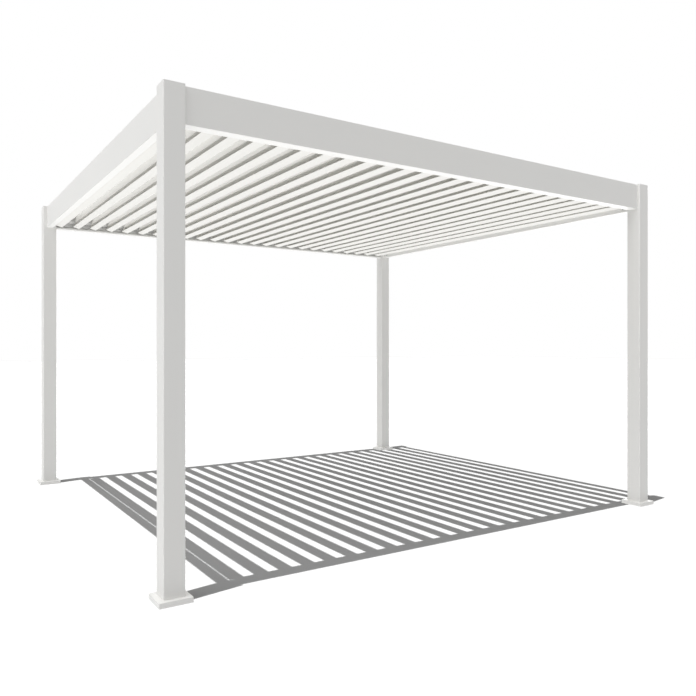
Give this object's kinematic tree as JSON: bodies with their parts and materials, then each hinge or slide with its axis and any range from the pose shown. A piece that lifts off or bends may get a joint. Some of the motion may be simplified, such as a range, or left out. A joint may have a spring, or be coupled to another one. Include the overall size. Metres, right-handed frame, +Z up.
{
  "type": "louvered pergola",
  "caption": "Free-standing garden pergola: square posts carry a beam frame with gutters and a roof of tilting louvres.",
  "frame": {"origin": "centre of the footprint, at ground level", "axes": "+X along the front to the right, +Y from the front to the back, +Z up"},
  "size_m": [3.96, 3.62, 2.53],
  "materials": {
    "frame_coat": "satin powder coat",
    "louvre_coat": "satin powder coat",
    "mill_aluminium": "mill finish",
    "galvanised_steel": "galvanised"
  },
  "bodies": {
    "frame": {"post_front_left": "frame_coat", "post_front_right": "frame_coat", "post_back_left": "frame_coat", "post_back_right": "frame_coat", "post_caps": "frame_coat", "foot_covers": "frame_coat", "anchor_plates": "galvanised_steel", "beam_front": "frame_coat", "beam_back": "frame_coat", "beam_left": "frame_coat", "beam_right": "frame_coat", "pivot_rail_front": "mill_aluminium", "pivot_rail_back": "mill_aluminium"},
    "louvre_01": {"louvre_01": "louvre_coat"},
    "louvre_02": {"louvre_02": "louvre_coat"},
    "louvre_03": {"louvre_03": "louvre_coat"},
    "louvre_04": {"louvre_04": "louvre_coat"},
    "louvre_05": {"louvre_05": "louvre_coat"},
    "louvre_06": {"louvre_06": "louvre_coat"},
    "louvre_07": {"louvre_07": "louvre_coat"},
    "louvre_08": {"louvre_08": "louvre_coat"},
    "louvre_09": {"louvre_09": "louvre_coat"},
    "louvre_10": {"louvre_10": "louvre_coat"},
    "louvre_11": {"louvre_11": "louvre_coat"},
    "louvre_12": {"louvre_12": "louvre_coat"},
    "louvre_13": {"louvre_13": "louvre_coat"},
    "louvre_14": {"louvre_14": "louvre_coat"},
    "louvre_15": {"louvre_15": "louvre_coat"},
    "louvre_16": {"louvre_16": "louvre_coat"},
    "louvre_17": {"louvre_17": "louvre_coat"},
    "louvre_18": {"louvre_18": "louvre_coat"},
    "louvre_19": {"louvre_19": "louvre_coat"},
    "louvre_20": {"louvre_20": "louvre_coat"},
    "louvre_21": {"louvre_21": "louvre_coat"},
    "louvre_22": {"louvre_22": "louvre_coat"},
    "louvre_23": {"louvre_23": "louvre_coat"},
    "louvre_24": {"louvre_24": "louvre_coat"},
    "louvre_25": {"louvre_25": "louvre_coat"},
    "drive_bar": {"drive_bar": "mill_aluminium"}
  },
  "joints": [
    {"name": "louvre_01_tilt", "type": "hinge", "parent": "frame", "child": "louvre_01", "pos_m": [-1.80247, 0, 2.408], "axis": [0, -1, 0], "range_deg": [-71, 15]},
    {"name": "louvre_02_tilt", "type": "hinge", "parent": "frame", "child": "louvre_02", "pos_m": [-1.65389, 0, 2.408], "axis": [0, -1, 0], "range_deg": [-71, 15]},
    {"name": "louvre_03_tilt", "type": "hinge", "parent": "frame", "child": "louvre_03", "pos_m": [-1.50531, 0, 2.408], "axis": [0, -1, 0], "range_deg": [-71, 15]},
    {"name": "louvre_04_tilt", "type": "hinge", "parent": "frame", "child": "louvre_04", "pos_m": [-1.35673, 0, 2.408], "axis": [0, -1, 0], "range_deg": [-71, 15]},
    {"name": "louvre_05_tilt", "type": "hinge", "parent": "frame", "child": "louvre_05", "pos_m": [-1.20816, 0, 2.408], "axis": [0, -1, 0], "range_deg": [-71, 15]},
    {"name": "louvre_06_tilt", "type": "hinge", "parent": "frame", "child": "louvre_06", "pos_m": [-1.05958, 0, 2.408], "axis": [0, -1, 0], "range_deg": [-71, 15]},
    {"name": "louvre_07_tilt", "type": "hinge", "parent": "frame", "child": "louvre_07", "pos_m": [-0.911, 0, 2.408], "axis": [0, -1, 0], "range_deg": [-71, 15]},
    {"name": "louvre_08_tilt", "type": "hinge", "parent": "frame", "child": "louvre_08", "pos_m": [-0.76242, 0, 2.408], "axis": [0, -1, 0], "range_deg": [-71, 15]},
    {"name": "louvre_09_tilt", "type": "hinge", "parent": "frame", "child": "louvre_09", "pos_m": [-0.61384, 0, 2.408], "axis": [0, -1, 0], "range_deg": [-71, 15]},
    {"name": "louvre_10_tilt", "type": "hinge", "parent": "frame", "child": "louvre_10", "pos_m": [-0.46526, 0, 2.408], "axis": [0, -1, 0], "range_deg": [-71, 15]},
    {"name": "louvre_11_tilt", "type": "hinge", "parent": "frame", "child": "louvre_11", "pos_m": [-0.31668, 0, 2.408], "axis": [0, -1, 0], "range_deg": [-71, 15]},
    {"name": "louvre_12_tilt", "type": "hinge", "parent": "frame", "child": "louvre_12", "pos_m": [-0.1681, 0, 2.408], "axis": [0, -1, 0], "range_deg": [-71, 15]},
    {"name": "louvre_13_tilt", "type": "hinge", "parent": "frame", "child": "louvre_13", "pos_m": [-0.01952, 0, 2.408], "axis": [0, -1, 0], "range_deg": [-71, 15]},
    {"name": "louvre_14_tilt", "type": "hinge", "parent": "frame", "child": "louvre_14", "pos_m": [0.12905, 0, 2.408], "axis": [0, -1, 0], "range_deg": [-71, 15]},
    {"name": "louvre_15_tilt", "type": "hinge", "parent": "frame", "child": "louvre_15", "pos_m": [0.27763, 0, 2.408], "axis": [0, -1, 0], "range_deg": [-71, 15]},
    {"name": "louvre_16_tilt", "type": "hinge", "parent": "frame", "child": "louvre_16", "pos_m": [0.42621, 0, 2.408], "axis": [0, -1, 0], "range_deg": [-71, 15]},
    {"name": "louvre_17_tilt", "type": "hinge", "parent": "frame", "child": "louvre_17", "pos_m": [0.57479, 0, 2.408], "axis": [0, -1, 0], "range_deg": [-71, 15]},
    {"name": "louvre_18_tilt", "type": "hinge", "parent": "frame", "child": "louvre_18", "pos_m": [0.72337, 0, 2.408], "axis": [0, -1, 0], "range_deg": [-71, 15]},
    {"name": "louvre_19_tilt", "type": "hinge", "parent": "frame", "child": "louvre_19", "pos_m": [0.87195, 0, 2.408], "axis": [0, -1, 0], "range_deg": [-71, 15]},
    {"name": "louvre_20_tilt", "type": "hinge", "parent": "frame", "child": "louvre_20", "pos_m": [1.02053, 0, 2.408], "axis": [0, -1, 0], "range_deg": [-71, 15]},
    {"name": "louvre_21_tilt", "type": "hinge", "parent": "frame", "child": "louvre_21", "pos_m": [1.16911, 0, 2.408], "axis": [0, -1, 0], "range_deg": [-71, 15]},
    {"name": "louvre_22_tilt", "type": "hinge", "parent": "frame", "child": "louvre_22", "pos_m": [1.31768, 0, 2.408], "axis": [0, -1, 0], "range_deg": [-71, 15]},
    {"name": "louvre_23_tilt", "type": "hinge", "parent": "frame", "child": "louvre_23", "pos_m": [1.46626, 0, 2.408], "axis": [0, -1, 0], "range_deg": [-71, 15]},
    {"name": "louvre_24_tilt", "type": "hinge", "parent": "frame", "child": "louvre_24", "pos_m": [1.61484, 0, 2.408], "axis": [0, -1, 0], "range_deg": [-71, 15]},
    {"name": "louvre_25_tilt", "type": "hinge", "parent": "frame", "child": "louvre_25", "pos_m": [1.76342, 0, 2.408], "axis": [0, -1, 0], "range_deg": [-71, 15]},
    {"name": "drive_bar_swing", "type": "hinge", "parent": "louvre_01", "child": "drive_bar", "pos_m": [-1.81273, -1.67, 2.43619], "axis": [0, -1, 0], "range_deg": [-15, 71]}
  ],
  "couplings": [
    {"joint": "louvre_02_tilt", "follows": "louvre_01_tilt", "ratio": 1},
    {"joint": "louvre_03_tilt", "follows": "louvre_01_tilt", "ratio": 1},
    {"joint": "louvre_04_tilt", "follows": "louvre_01_tilt", "ratio": 1},
    {"joint": "louvre_05_tilt", "follows": "louvre_01_tilt", "ratio": 1},
    {"joint": "louvre_06_tilt", "follows": "louvre_01_tilt", "ratio": 1},
    {"joint": "louvre_07_tilt", "follows": "louvre_01_tilt", "ratio": 1},
    {"joint": "louvre_08_tilt", "follows": "louvre_01_tilt", "ratio": 1},
    {"joint": "louvre_09_tilt", "follows": "louvre_01_tilt", "ratio": 1},
    {"joint": "louvre_10_tilt", "follows": "louvre_01_tilt", "ratio": 1},
    {"joint": "louvre_11_tilt", "follows": "louvre_01_tilt", "ratio": 1},
    {"joint": "louvre_12_tilt", "follows": "louvre_01_tilt", "ratio": 1},
    {"joint": "louvre_13_tilt", "follows": "louvre_01_tilt", "ratio": 1},
    {"joint": "louvre_14_tilt", "follows": "louvre_01_tilt", "ratio": 1},
    {"joint": "louvre_15_tilt", "follows": "louvre_01_tilt", "ratio": 1},
    {"joint": "louvre_16_tilt", "follows": "louvre_01_tilt", "ratio": 1},
    {"joint": "louvre_17_tilt", "follows": "louvre_01_tilt", "ratio": 1},
    {"joint": "louvre_18_tilt", "follows": "louvre_01_tilt", "ratio": 1},
    {"joint": "louvre_19_tilt", "follows": "louvre_01_tilt", "ratio": 1},
    {"joint": "louvre_20_tilt", "follows": "louvre_01_tilt", "ratio": 1},
    {"joint": "louvre_21_tilt", "follows": "louvre_01_tilt", "ratio": 1},
    {"joint": "louvre_22_tilt", "follows": "louvre_01_tilt", "ratio": 1},
    {"joint": "louvre_23_tilt", "follows": "louvre_01_tilt", "ratio": 1},
    {"joint": "louvre_24_tilt", "follows": "louvre_01_tilt", "ratio": 1},
    {"joint": "louvre_25_tilt", "follows": "louvre_01_tilt", "ratio": 1},
    {"joint": "drive_bar_swing", "follows": "louvre_01_tilt", "ratio": -1}
  ]
}
